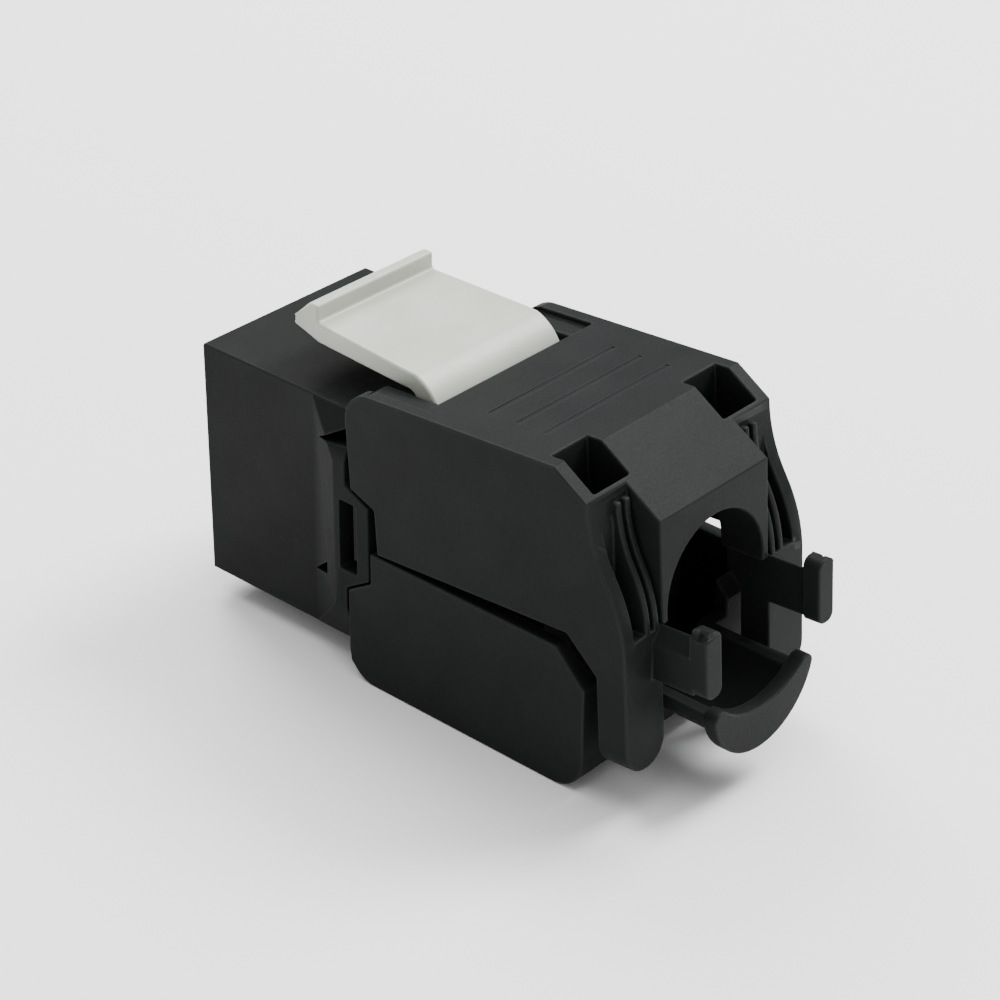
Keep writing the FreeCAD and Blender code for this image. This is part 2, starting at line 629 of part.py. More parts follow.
def upper_cover_outline():
    """Side outline of the cheeks: hinge corner, chamfer, swept back edge, foot and lower edge."""
    corner_z = s.cover_top - (CHEEK_CORNER - CHAMFER_START) * CHAMFER_SLOPE
    run = COVER_END - CHEEK_CORNER
    drop = corner_z - s.sweep_end_z
    sweep = (run * run + drop * drop) / (4 * run)
    notch_y = EAR_END + s.seam_gap
    ear_line = s.ear_root_top + s.seam_gap
    return ((COVER_FRONT, UPPER_HINGE_Z),
            (HINGE_Y, s.cover_top, s.corner_radius, -1),
            (CHAMFER_START, s.cover_top),
            (CHEEK_CORNER, corner_z),
            (CHEEK_CORNER + run / 2, corner_z - drop / 2, sweep, 1),
            (COVER_END, s.sweep_end_z, sweep, -1),
            (COVER_END, s.foot_bottom + FOOT_ROUND), (FOOT_FRONT, s.foot_bottom + FOOT_ROUND),
            (FOOT_FRONT, s.cover_step_z),
            (FOOT_FRONT - s.cover_step_run, UPPER_EDGE),
            (notch_y, UPPER_EDGE),
            (notch_y, ear_line - (notch_y - s.housing_length) * EAR_TOP_SLOPE),
            (COVER_FRONT, ear_line - s.seam_gap * EAR_TOP_SLOPE))


def make_upper_cover():
    """Upper wiring cover: cheeks, top plate, rear block with the cable arch, feet and tie hooks."""
    body = new_body("upper_cover")
    across(body, upper_cover_outline(), s.cover_width)
    below = s.foot_bottom - 1
    inside = ((COVER_FRONT - 1, below), (COVER_FRONT - 1, PLATE_UNDER), (CHUTE_FRONT, PLATE_UNDER),
              (CHUTE_FRONT, s.chute_floor), (BLOCK_FRONT, s.chute_floor), (BLOCK_FRONT, below))
    across(body, inside, 2 * CHEEK_INNER, cut=True)
    cut_cover_front(body)
    channel_front = CHANNEL_FRONT
    behind = COVER_END + 1
    upwards(body, mirrored_boxes(s.block_half, CHEEK_INNER, channel_front, behind),
            s.block_floor, s.cover_top, cut=True)
    along(body, [box_steps(-s.foot_inner, s.foot_inner, below, s.block_floor)],
          BLOCK_FRONT, behind, cut=True)
    block_edge = s.cover_top - (COVER_END - CHAMFER_START) * CHAMFER_SLOPE
    front_edge = s.cover_top - (BLOCK_FRONT - CHAMFER_START) * CHAMFER_SLOPE
    block = ((BLOCK_FRONT, s.block_floor), (COVER_END, s.block_floor),
             (COVER_END, block_edge), (BLOCK_FRONT, front_edge))
    across(body, block, 2 * s.block_half)
    cut_top_grooves(body)
    add_webs(body, channel_front)
    add_feet(body)
    arch = circle(new_sketch(body, "XZ_Plane", -BLOCK_FRONT), 0, s.arch_height, s.arch_radius)
    pocket(body, arch, behind - BLOCK_FRONT)
    pockets = mirrored_boxes(s.pocket_inner, CHEEK_INNER, POCKET_FRONT, POCKET_BACK)
    upwards(body, pockets, s.chute_floor, s.cover_top + 1, cut=True)
    add_tie_hooks(body)
    hinge_seats(body, UPPER_HINGE_Z)
    swing_open(body)
    return body


def cut_cover_front(body):
    """Cut-out of the top plate round the latch, with its two lower arms beside it."""
    ahead = COVER_FRONT - 1
    half = LATCH_REAR_HALF + s.latch_gap
    upwards(body, [box_steps(-half, half, ahead, PLATE_FRONT)], PLATE_UNDER - 1, s.cover_top + 1, cut=True)
    upwards(body, [box_steps(-CHEEK_INNER, CHEEK_INNER, ahead, ARM_FRONT)],
            PLATE_UNDER - 3, s.cover_top + 1, cut=True)
    upwards(body, [box_steps(-CHEEK_INNER, CHEEK_INNER, ahead, PLATE_FRONT)],
            s.cover_top - s.arm_drop, s.cover_top + 1, cut=True)


def cut_top_grooves(body):
    """Three faint grooves across the top plate."""
    grooves = []
    for number in range(TOP_GROOVES):
        start = HINGE_Y + s.top_groove_lead + number * s.top_groove_pitch
        grooves.append(box_steps(-s.top_groove_half, s.top_groove_half, start, start + s.top_groove_width))
    upwards(body, grooves, s.cover_top - s.top_groove_depth, s.cover_top + 1, cut=True)


def add_webs(body, channel_front):
    """Two thin swept webs in each channel between a cheek and the rear block."""
    top_y = channel_front + s.web_setback
    top_z = s.cover_top - (top_y - CHAMFER_START) * CHAMFER_SLOPE - 0.2
    run = COVER_END - top_y
    drop = top_z - s.block_floor
    sweep = (run * run + drop * drop) / (4 * run)
    web = ((channel_front - 0.1, s.block_floor), (COVER_END, s.block_floor),
           (top_y + run / 2, top_z - drop / 2, sweep, 1), (top_y, top_z, sweep, -1),
           (channel_front - 0.1, top_z))
    for inner in (CHEEK_INNER - s.web_inset, CHEEK_INNER - s.web_inset - s.web_pitch):
        on_both_sides(body, web, inner, inner + s.web_thickness)


def add_feet(body):
    """Round-ended feet that reach down behind the lower cover."""
    outlines = []
    for side in (1, -1):
        inner = side * s.foot_inner
        outer = side * COVER_HALF
        outlines.append(((inner, s.block_floor), (inner, s.foot_bottom + FOOT_ROUND),
                         (inner + side * FOOT_ROUND, s.foot_bottom, FOOT_ROUND, side),
                         (outer - side * FOOT_ROUND, s.foot_bottom),
                         (outer, s.foot_bottom + FOOT_ROUND, FOOT_ROUND, side),
                         (outer, s.cover_step_z), (outer - side * s.cheek_wall, s.block_floor)))
    along(body, outlines, FOOT_FRONT, COVER_END)


def add_tie_hooks(body):
    """Two arms with upright heads, which a cable tie is drawn round."""
    arms = []
    heads = []
    outer = s.hook_inner + s.hook_thickness
    for side in (1, -1):
        arms.append(((side * s.hook_inner, s.hook_low), (side * outer, s.hook_low),
                     (side * outer, s.hook_high - s.hook_bevel),
                     (side * (outer - s.hook_bevel), s.hook_high),
                     (side * s.hook_inner, s.hook_high)))
        near = side * (outer - s.head_width)
        far = side * outer
        step = side * s.head_round
        heads.append(((near, s.head_low + s.head_round),
                      (near + step, s.head_low, s.head_round, side),
                      (far - step, s.head_low),
                      (far, s.head_low + s.head_round, s.head_round, side),
                      (far, s.head_high - s.head_round),
                      (far - step, s.head_high, s.head_round, side),
                      (near + step, s.head_high),
                      (near, s.head_high - s.head_round, s.head_round, side)))
    along(body, arms, COVER_END - 0.5, HOOK_END + 0.2)
    along(body, heads, HOOK_END, HOOK_END + s.head_depth)
    groove_y = HOOK_END + s.head_depth / 2
    groove = ((groove_y - s.head_groove, s.head_high + 0.1), (groove_y, s.head_high - s.head_round),
              (groove_y + s.head_groove, s.head_high + 0.1))
    on_both_sides(body, groove, outer - s.head_round, outer + 0.1, cut=True)


def lower_cover_outline():
    notch_y = EAR_END + s.seam_gap
    ear_line = s.ear_root_bottom - s.seam_gap
    return ((COVER_FRONT, ear_line + s.seam_gap * EAR_BOTTOM_SLOPE),
            (COVER_FRONT, LOWER_HINGE_Z),
            (HINGE_Y, s.cover_bottom, s.corner_radius, 1),
            (LOWER_END - s.lower_round, s.cover_bottom),
            (LOWER_END, s.cover_bottom + s.lower_round, s.lower_round, 1),
            (LOWER_END, s.lower_step_z),
            (LOWER_END - s.lower_step_run, LOWER_EDGE),
            (notch_y, LOWER_EDGE),
            (notch_y, ear_line + (notch_y - s.housing_length) * EAR_BOTTOM_SLOPE))


def make_lower_cover():
    """Lower wiring cover: cheeks, floor, rear wall and the trough that the cable lies in."""
    body = new_body("lower_cover")
    across(body, lower_cover_outline(), s.cover_width)
    wall_front = LOWER_END - s.plate_wall
    inside = box_steps(COVER_FRONT - 1, wall_front, LOWER_PLATE_OVER, s.cover_top)
    across(body, inside, 2 * CHEEK_INNER, cut=True)
    upwards(body, [box_steps(-CHEEK_INNER, CHEEK_INNER, COVER_FRONT - 1, ARM_FRONT)],
            s.cover_bottom - 1, LOWER_PLATE_OVER, cut=True)
    outer = s.trough_outer
    inner = outer - s.trough_wall
    rise = s.trough_rim - s.trough_centre
    outer_x = root(outer * outer - rise * rise)
    inner_x = root(inner * inner - rise * rise)
    along(body, [box_steps(-s.foot_inner, s.foot_inner, s.trough_rim, s.cover_top)],
          wall_front, LOWER_END + 1, cut=True)
    passage = ((-inner_x, s.trough_rim), (inner_x, s.trough_rim, inner, 1))
    along(body, [passage], wall_front, LOWER_END + 1, cut=True)
    trough = ((-outer_x, s.trough_rim), (outer_x, s.trough_rim, outer, 1),
              (inner_x, s.trough_rim), (-inner_x, s.trough_rim, inner, -1))
    along(body, [trough], wall_front, TROUGH_END)
    add_trough_lip(body)
    hinge_seats(body, LOWER_HINGE_Z)
    return body


def add_trough_lip(body):
    """Round-shouldered collar at the mouth of the trough, with a raised sill."""
    outer = s.lip_outer
    shoulder = s.lip_shoulder
    shoulder_z = s.lip_rim - shoulder
    fall = shoulder_z - s.trough_centre
    outer_x = root(outer * outer - fall * fall)
    lip_rise = s.lip_centre - s.lip_rim
    lip_x = root(s.lip_radius * s.lip_radius - lip_rise * lip_rise)
    lip = ((shoulder - outer_x, s.lip_rim), (-outer_x, shoulder_z, shoulder, 1),
           (outer_x, shoulder_z, outer, 1), (outer_x - shoulder, s.lip_rim, shoulder, 1),
           (lip_x, s.lip_rim), (-lip_x, s.lip_rim, s.lip_radius, -1))
    along(body, [lip], TROUGH_END - s.lip_depth, TROUGH_END)


def make_wire_comb(label, face_z, up):
    """Ribbed pad under a cover that presses the wires down into their terminals."""
    body = new_body(label)
    base = BLOCK_TOP + s.comb_gap
    tip = base - s.comb_rib_drop
    across(body, box_steps(BLOCK_START, BOARD_END, up * base, face_z), 2 * (BOARD_HALF - s.comb_inset))
    ribs = [box_steps(x - s.comb_rib_width / 2, x + s.comb_rib_width / 2, up * tip, up * base)
            for x, _ in terminal_places()]
    along(body, ribs, BLOCK_START, BOARD_END)
    notches = [box_steps(up * x - s.channel_width / 2, up * x + s.channel_width / 2,
                         y - s.comb_notch / 2, y + s.comb_notch / 2) for x, y in terminal_places()]
    low, high = (tip - 1, base) if up > 0 else (-base, 1 - tip)
    upwards(body, notches, low, high, cut=True)
    return body


def check_and_write():
    """Stop on any failed object, then write every piece."""
    document.recompute()
    for item in document.Objects:
        if {"Invalid", "Error"} & set(item.State):
            raise RuntimeError(f"{item.Label} did not compute: {item.State}")
    os.makedirs("parts", exist_ok=True)
    for body in pieces:
        shape = body.Shape
        if shape.isNull() or not shape.isValid():
            raise RuntimeError(f"{body.Label} has no valid solid")
        shape.exportStep(f"parts/{body.Label}.step")
        box = shape.BoundBox
        print(f"{body.Label}: {len(shape.Solids)} solid, {shape.Volume:.2f} mm3, "
              f"x {box.XMin:.2f}..{box.XMax:.2f}, y {box.YMin:.2f}..{box.YMax:.2f}, "
              f"z {box.ZMin:.2f}..{box.ZMax:.2f}")


def main():
    make_front_housing()
    make_contact_carrier()
    for number, x in enumerate(contact_places(), start=1):
        make_plug_contact(number, x)
    make_circuit_board()
    for name, up in (("upper", 1), ("lower", -1)):
        make_terminal_block(f"terminal_block_{name}", up)
        for number, (x, y) in enumerate(terminal_places(), start=1):
            make_terminal(f"wire_terminal_{name}_{number}", up * x, y, up)
    make_release_latch()
    make_upper_cover()
    swing_open(make_wire_comb("upper_wire_comb", PLATE_UNDER, 1))
    make_lower_cover()
    make_wire_comb("lower_wire_comb", LOWER_PLATE_OVER, -1)
    check_and_write()


main()
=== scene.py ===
"""Dresses the keystone jack: moulded finishes, softened edges, metal parts, light and camera."""

import logging
import math
from dataclasses import dataclass
from enum import Enum

import bpy
from mathutils import Matrix, Vector


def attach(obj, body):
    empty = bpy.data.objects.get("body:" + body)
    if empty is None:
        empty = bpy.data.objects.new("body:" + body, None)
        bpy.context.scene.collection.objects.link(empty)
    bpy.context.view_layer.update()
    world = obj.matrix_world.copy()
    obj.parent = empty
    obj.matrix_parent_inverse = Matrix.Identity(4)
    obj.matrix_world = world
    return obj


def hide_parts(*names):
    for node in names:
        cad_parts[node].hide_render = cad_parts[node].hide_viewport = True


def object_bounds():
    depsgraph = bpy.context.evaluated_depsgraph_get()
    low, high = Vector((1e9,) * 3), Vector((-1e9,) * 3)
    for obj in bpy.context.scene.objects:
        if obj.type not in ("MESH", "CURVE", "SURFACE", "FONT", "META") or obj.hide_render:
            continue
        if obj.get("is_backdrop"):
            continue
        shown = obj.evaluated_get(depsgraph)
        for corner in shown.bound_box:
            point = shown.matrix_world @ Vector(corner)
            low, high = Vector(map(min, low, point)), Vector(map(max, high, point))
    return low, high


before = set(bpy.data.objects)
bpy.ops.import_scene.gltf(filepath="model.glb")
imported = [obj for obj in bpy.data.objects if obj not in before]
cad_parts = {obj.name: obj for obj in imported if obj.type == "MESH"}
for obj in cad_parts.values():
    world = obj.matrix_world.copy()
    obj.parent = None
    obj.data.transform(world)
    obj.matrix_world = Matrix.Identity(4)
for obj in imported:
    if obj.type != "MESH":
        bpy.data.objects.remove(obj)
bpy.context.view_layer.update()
LOG = logging.getLogger("keystone_jack")

Triple = tuple[float, float, float]

# Lengths are in metres, angles in radians, and texture scales are counts per metre.
MM = 0.001

# Cleaning of a copied shell.
MERGE_GAP = 0.000002
SLIVER_SIZE = 0.000004
FLAT_TURN = math.radians(1.2)

# A corner is rounded where it turns more than the facets of a curve do, and where both
# faces beside it run back far enough for the radius.
SHARPEST_CURVE = math.radians(24)
ROOM_PER_RADIUS = 2.2
EDGE_SEGMENTS = 3
STATIONS = (0.2, 0.5, 0.8)
TOUCHING = 1e-7

# Shading of a finished shell.
SMOOTH_TURN = math.radians(38)
LARGE_FACE_WEIGHT = 100

# Flow marks in moulded plastic.
FLOW_SCALE = 260.0
FLOW_DETAIL = 4.0
FLOW_DARK_AT = 0.3
FLOW_LIGHT_AT = 0.75

# Tool grain on moulded plastic.
GRAIN_DETAIL = 3.0
GRAIN_STRENGTH = 1.0
GRAIN_SMOOTHER = 0.08
GRAIN_ROUGHER = 0.10

# Painted edge highlights: how far the painted highlight reaches, and the cosine of the turn at
# which it is full.
HIGHLIGHT_REACH = 0.22 * MM
HIGHLIGHT_SAMPLES = 4
HIGHLIGHT_NONE_AT = 1.0
HIGHLIGHT_FULL_AT = 0.93

# Drawing marks on plated strip.
DRAWN_STRETCH = (9000.0, 400.0, 400.0)
DRAWN_SCALE = 1.0
DRAWN_SMOOTHER = 0.08
DRAWN_ROUGHER = 0.12

# The lacquered board.
THREAD_SHADE = 0.85
CLOTH_SCALE = 2600.0
CLOTH_SHADE = 0.7
CLOTH_ROUGHNESS = 0.75
LACQUER_ROUGHNESS = 0.30


class Grain(Enum):
    """How a moulded surface was finished in its tool, with the scale of the grain."""

    SPARK = 7000.0
    SATIN = 3200.0


class FinishNodes:
    """A node material while its finish is put together."""

    def __init__(self, name: str) -> None:
        """Start the material with its principled shader.

        Args:
            name: The material's name.
        """
        self.material = bpy.data.materials.new(name)
        self.material.use_nodes = True
        self.nodes = self.material.node_tree.nodes
        self.links = self.material.node_tree.links
        self.shader = self.nodes["Principled BSDF"]

    def add(self, kind: str, **numbers: float | tuple[float, ...]) -> bpy.types.Node:
        """Add a node and set numbers on its own sockets.

        Args:
            kind: The node's type.
            numbers: Socket numbers by name, with an underscore for each space.

        Returns:
            The new node.
        """
        node = self.nodes.new(kind)
        for socket, number in numbers.items():
            node.inputs[socket.replace("_", " ")].default_value = number
        return node

    def join(self, output: bpy.types.NodeSocket, entry: bpy.types.NodeSocket) -> None:
        """Link an output to an input.

        Args:
            output: The socket that gives.
            entry: The socket that takes.
        """
        self.links.new(output, entry)

    def vary_roughness(self, pattern: bpy.types.NodeSocket, smooth: float, rough: float) -> None:
        """Spread the shader's roughness between two values by a pattern.

        Args:
            pattern: The pattern, from 0 to 1.
            smooth: Roughness where the pattern is 0.
            rough: Roughness where the pattern is 1.
        """
        spread = self.add("ShaderNodeMapRange", To_Min=smooth, To_Max=rough)
        self.join(pattern, spread.inputs["Value"])
        self.join(spread.outputs["Result"], self.shader.inputs["Roughness"])


@dataclass(frozen=True)
class MouldedPlastic:
    """A moulded plastic with a fine tool grain, faint flow marks and a painted highlight along
    its edges.

    Attributes:
        name: The material's name.
        dark: Colour of the darker flow marks.
        light: Colour of the lighter flow marks.
        roughness: Roughness that the grain varies about.
        density: Optical density, as an index of refraction.
        grain: How the surface was finished in its tool.
        grain_height: Height of the grain.
        edge_highlight: How many times as light as the lighter flow marks the painted highlight
            on an edge is.
    """

    name: str
    dark: Triple
    light: Triple
    roughness: float
    density: float
    grain: Grain
    grain_height: float
    edge_highlight: float

    def material(self) -> bpy.types.Material:
        """Build the finish.

        Returns:
            The node material.
        """
        finish = FinishNodes(self.name)
        finish.shader.inputs["IOR"].default_value = self.density
        place = finish.add("ShaderNodeTexCoord").outputs["Object"]
        flow = self.mark_flow(finish, place)
        self.paint_edge_highlights(finish, flow)
        self.cut_grain(finish, place)
        return finish.material

    def mark_flow(
        self, finish: FinishNodes, place: bpy.types.NodeSocket
    ) -> bpy.types.NodeSocket:
        """Cloud the colour between the dark and light marks.

        Args:
            finish: The finish being built.
            place: The piece's own coordinates.

        Returns:
            The clouded colour.
        """
        cloud = finish.add("ShaderNodeTexNoise", Scale=FLOW_SCALE, Detail=FLOW_DETAIL)
        finish.join(place, cloud.inputs["Vector"])
        tint = finish.add("ShaderNodeValToRGB")
        first, last = tint.color_ramp.elements
        first.position, first.color = FLOW_DARK_AT, (*self.dark, 1.0)
        last.position, last.color = FLOW_LIGHT_AT, (*self.light, 1.0)
        finish.join(cloud.outputs["Fac"], tint.inputs["Fac"])
        return tint.outputs["Color"]

    def paint_edge_highlights(self, finish: FinishNodes, colour: bpy.types.NodeSocket) -> None:
        """Lighten the colour where the surface turns sharply, as a painted edge highlight, and
        give it to the shader.

        Args:
            finish: The finish being built.
            colour: The colour away from the edges.
        """
        # Painted highlight: the colour is lightened along every sharp turn, convex or concave.
        rounded = finish.add("ShaderNodeBevel", Radius=HIGHLIGHT_REACH)
        rounded.samples = HIGHLIGHT_SAMPLES
        surface = finish.add("ShaderNodeNewGeometry")
        turn = finish.add("ShaderNodeVectorMath")
        turn.operation = "DOT_PRODUCT"
        finish.join(rounded.outputs["Normal"], turn.inputs[0])
        finish.join(surface.outputs["Normal"], turn.inputs[1])
        highlight_mask = finish.add("ShaderNodeMapRange", From_Min=HIGHLIGHT_NONE_AT, From_Max=HIGHLIGHT_FULL_AT)
        finish.join(turn.outputs["Value"], highlight_mask.inputs["Value"])
        highlighted = finish.add("ShaderNodeMix")
        highlighted.data_type = "RGBA"
        highlighted.inputs["B"].default_value = (*(tone * self.edge_highlight for tone in self.light), 1.0)
        finish.join(highlight_mask.outputs["Result"], highlighted.inputs["Factor"])
        finish.join(colour, highlighted.inputs["A"])
        finish.join(highlighted.outputs["Result"], finish.shader.inputs["Base Color"])

    def cut_grain(self, finish: FinishNodes, place: bpy.types.NodeSocket) -> None:
        """Give the surface its tool grain, in roughness and in height.

        Args:
            finish: The finish being built.
            place: The piece's own coordinates.
        """
        grain = finish.add("ShaderNodeTexNoise", Scale=self.grain.value, Detail=GRAIN_DETAIL)
        finish.join(place, grain.inputs["Vector"])
        finish.vary_roughness(
            grain.outputs["Fac"],
            self.roughness - GRAIN_SMOOTHER,
            self.roughness + GRAIN_ROUGHER,
        )
        bump = finish.add(
            "ShaderNodeBump", Strength=GRAIN_STRENGTH, Distance=self.grain_height
        )
        finish.join(grain.outputs["Fac"], bump.inputs["Height"])
        finish.join(bump.outputs["Normal"], finish.shader.inputs["Normal"])


@dataclass(frozen=True)
class PlatedMetal:
    """A thin plated strip with faint drawing marks along it.

    Attributes:
        name: The material's name.
        colour: Colour of the plating.
        roughness: Roughness that the drawing marks vary about.
    """

    name: str
    colour: Triple
    roughness: float

    def material(self) -> bpy.types.Material:
        """Build the finish.

        Returns:
            The node material.
        """
        finish = FinishNodes(self.name)
        finish.shader.inputs["Metallic"].default_value = 1.0
        finish.shader.inputs["Base Color"].default_value = (*self.colour, 1.0)
        place = finish.add("ShaderNodeTexCoord")
        stretch = finish.add("ShaderNodeMapping", Scale=DRAWN_STRETCH)
        finish.join(place.outputs["Object"], stretch.inputs["Vector"])
        marks = finish.add("ShaderNodeTexNoise", Scale=DRAWN_SCALE)
        finish.join(stretch.outputs["Vector"], marks.inputs["Vector"])
        finish.vary_roughness(
            marks.outputs["Fac"],
            self.roughness - DRAWN_SMOOTHER,
            self.roughness + DRAWN_ROUGHER,
        )
        return finish.material


@dataclass(frozen=True)
class LacqueredBoard:
    """Green lacquer over a glass-cloth board, bare where the board was cut.

    Attributes:
        name: The material's name.
        lacquer: Colour of the two lacquered faces.
        cut_edge: Colour of the bare glass cloth.
        weave_pitch: Spacing of the cloth's threads.
        face_height: Height above the middle plane where the lacquer starts.
    """

    name: str
    lacquer: Triple
    cut_edge: Triple
    weave_pitch: float
    face_height: float

    def material(self) -> bpy.types.Material:
        """Build the finish.

        Returns:
            The node material.
        """
        finish = FinishNodes(self.name)
        place = finish.add("ShaderNodeTexCoord").outputs["Object"]
        weave = self.weave_lacquer(finish, place)
        cloth = self.bare_cloth(finish, place)
        face = self.find_faces(finish, place)
        coat = finish.add("ShaderNodeMix")
        coat.data_type = "RGBA"
        finish.join(face, coat.inputs["Factor"])
        finish.join(cloth, coat.inputs["A"])
        finish.join(weave, coat.inputs["B"])
        finish.join(coat.outputs["Result"], finish.shader.inputs["Base Color"])
        finish.vary_roughness(face, CLOTH_ROUGHNESS, LACQUER_ROUGHNESS)
        return finish.material

    def weave_lacquer(
        self, finish: FinishNodes, place: bpy.types.NodeSocket
    ) -> bpy.types.NodeSocket:
        """Show the cloth's threads faintly through the lacquer.

        Args:
            finish: The finish being built.
            place: The board's own coordinates.

        Returns:
            The colour of the lacquered faces.
        """
        weave = finish.add(
            "ShaderNodeTexChecker",
            Scale=1.0 / self.weave_pitch,
            Color1=(*self.lacquer, 1.0),
            Color2=(*(tone * THREAD_SHADE for tone in self.lacquer), 1.0),
        )
        finish.join(place, weave.inputs["Vector"])
        return weave.outputs["Color"]

    def bare_cloth(
        self, finish: FinishNodes, place: bpy.types.NodeSocket
    ) -> bpy.types.NodeSocket:
        """Mottle the cut edge of the board.

        Args:
            finish: The finish being built.
            place: The board's own coordinates.

        Returns:
            The colour of the bare glass cloth.
        """
        layers = finish.add("ShaderNodeTexNoise", Scale=CLOTH_SCALE)
        finish.join(place, layers.inputs["Vector"])
        cloth = finish.add("ShaderNodeValToRGB")
        first, last = cloth.color_ramp.elements
        first.color = (*(tone * CLOTH_SHADE for tone in self.cut_edge), 1.0)
        last.color = (*self.cut_edge, 1.0)
        finish.join(layers.outputs["Fac"], cloth.inputs["Fac"])
        return cloth.outputs["Color"]

    def find_faces(
        self, finish: FinishNodes, place: bpy.types.NodeSocket
    ) -> bpy.types.NodeSocket:
        """Tell the lacquered faces from the cut edges by height.

        Args:
            finish: The finish being built.
            place: The board's own coordinates.

        Returns:
            One on the lacquered faces and zero elsewhere.
        """
        axes = finish.add("ShaderNodeSeparateXYZ")
        finish.join(place, axes.inputs["Vector"])
        height = finish.add("ShaderNodeMath")
        height.operation = "ABSOLUTE"
        finish.join(axes.outputs["Z"], height.inputs[0])
        face = finish.add("ShaderNodeMath")
        face.operation = "GREATER_THAN"
        face.inputs[1].default_value = self.face_height
        finish.join(height.outputs["Value"], face.inputs[0])
        return face.outputs["Value"]


# Each finish's last number sets how much lighter its painted edge highlight is.
BODY_BLACK = MouldedPlastic(
    name="body_black",
    dark=(0.0072, 0.0077, 0.0079),
    light=(0.0096, 0.0103, 0.0105),
    roughness=0.50,
    density=1.125,
    grain=Grain.SPARK,
    grain_height=0.000014,
    edge_highlight=2.0,
)
# Painted light: the covers' black is lighter than the housing's, which lifts the covers' shaded
# sides to the housing's brightness.
COVER_BLACK = MouldedPlastic(
    name="cover_black",
    dark=(0.0086, 0.0092, 0.0094),
    light=(0.0114, 0.0122, 0.0124),
    roughness=0.46,
    density=1.13,
    grain=Grain.SPARK,
    grain_height=0.000014,
    edge_highlight=2.0,
)
LATCH_GREY = MouldedPlastic(
    name="latch_grey",
    dark=(0.38, 0.405, 0.345),
    light=(0.45, 0.475, 0.41),
    roughness=0.42,
    density=1.5,
    grain=Grain.SATIN,
    grain_height=0.000004,
    edge_highlight=1.08,
)
INSERT_BLACK = MouldedPlastic(
    name="insert_black",
    dark=(0.016, 0.016, 0.0165),
    light=(0.024, 0.024, 0.025),
    roughness=0.50,
    density=1.15,
    grain=Grain.SATIN,
    grain_height=0.000006,
    edge_highlight=1.6,
)
CONTACT_GOLD = PlatedMetal(name="contact_gold", colour=(0.83, 0.60, 0.24), roughness=0.22)
BLADE_TIN = PlatedMetal(name="blade_tin", colour=(0.66, 0.66, 0.64), roughness=0.30)
BOARD_GREEN = LacqueredBoard(
    name="board_green",
    lacquer=(0.008, 0.075, 0.028),
    cut_edge=(0.30, 0.27, 0.13),
    weave_pitch=0.4 * MM,
    face_height=0.74 * MM,
)


def work_alone(piece: bpy.types.Object) -> None:
    """Select one piece and nothing else.

    Args:
        piece: The piece to make active.
    """
    bpy.ops.object.select_all(action="DESELECT")
    piece.select_set(True)
    bpy.context.view_layer.objects.active = piece


@dataclass
class MouldedShell:
    """A moulded node shown with softened edges.

    Attributes:
        node: The CAD node it stands for.
        body: The body that it rides on.
        slot: The record's material slot; not used.
        finish: The finish it is dressed in.
        edge: Radius of the softened edges.
    """

    node: str
    body: str
    slot: str
    finish: MouldedPlastic
    edge: float

    def build(self) -> bpy.types.Object:
        """Copy the node, soften its edges and dress it.

        Returns:
            The finished piece.
        """
        shell = self.copy_node()
        self.soften(shell)
        self.level_shading(shell)
        shell.data.materials.clear()
        shell.data.materials.append(self.finish.material())
        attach(shell, self.body)
        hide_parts(self.node)
        LOG.info("%s: %d faces", shell.name, len(shell.data.polygons))
        return shell

    def copy_node(self) -> bpy.types.Object:
        """Copy the node's mesh and merge its loose triangles into flat faces.

        Returns:
            The copy, selected alone and in object mode.
        """
        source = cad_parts[self.node]
        shell = bpy.data.objects.new(f"{self.node}_shell", source.data.copy())
        bpy.context.collection.objects.link(shell)
        work_alone(shell)
        bpy.ops.object.mode_set(mode="EDIT")
        bpy.ops.mesh.select_all(action="SELECT")
        bpy.ops.mesh.remove_doubles(threshold=MERGE_GAP)
        bpy.ops.mesh.dissolve_degenerate(threshold=SLIVER_SIZE)
        bpy.ops.mesh.dissolve_limited(angle_limit=FLAT_TURN)
        bpy.ops.mesh.normals_make_consistent(inside=False)
        bpy.ops.object.mode_set(mode="OBJECT")
        return shell

    def soften(self, shell: bpy.types.Object) -> None:
        """Round the corners that have room for the edge radius.

        Args:
            shell: The copied node, with its flat faces merged.
        """
        mesh = shell.data
        faces: dict[tuple[int, int], list[bpy.types.MeshPolygon]] = {}
        for face in mesh.polygons:
            for key in face.edge_keys:
                faces.setdefault(key, []).append(face)
        weights = mesh.attributes.new("bevel_weight_edge", "FLOAT", "EDGE")
        for edge in mesh.edges:
            pair = faces[edge.key]
            turn = pair[0].normal.angle(pair[1].normal)
            room = min(room_beside(mesh, edge, face) for face in pair)
            rounded = turn > SHARPEST_CURVE and room > ROOM_PER_RADIUS * self.edge
            weights.data[edge.index].value = 1.0 if rounded else 0.0
        rounding = shell.modifiers.new("soft_edges", "BEVEL")
        rounding.width = self.edge
        rounding.segments = EDGE_SEGMENTS
        rounding.limit_method = "WEIGHT"
        rounding.miter_outer = "MITER_ARC"
        rounding.use_clamp_overlap = False
        bpy.ops.object.modifier_apply(modifier=rounding.name)

    def level_shading(self, shell: bpy.types.Object) -> None:
        """Shade curves smoothly and keep the large faces flat.

        Args:
            shell: The shell with its softened edges.
        """
        bpy.ops.object.shade_smooth_by_angle(angle=SMOOTH_TURN)
        level = shell.modifiers.new("level_faces", "WEIGHTED_NORMAL")
        level.mode = "FACE_AREA"
        level.weight = LARGE_FACE_WEIGHT
        level.keep_sharp = True
        bpy.ops.object.modifier_apply(modifier=level.name)


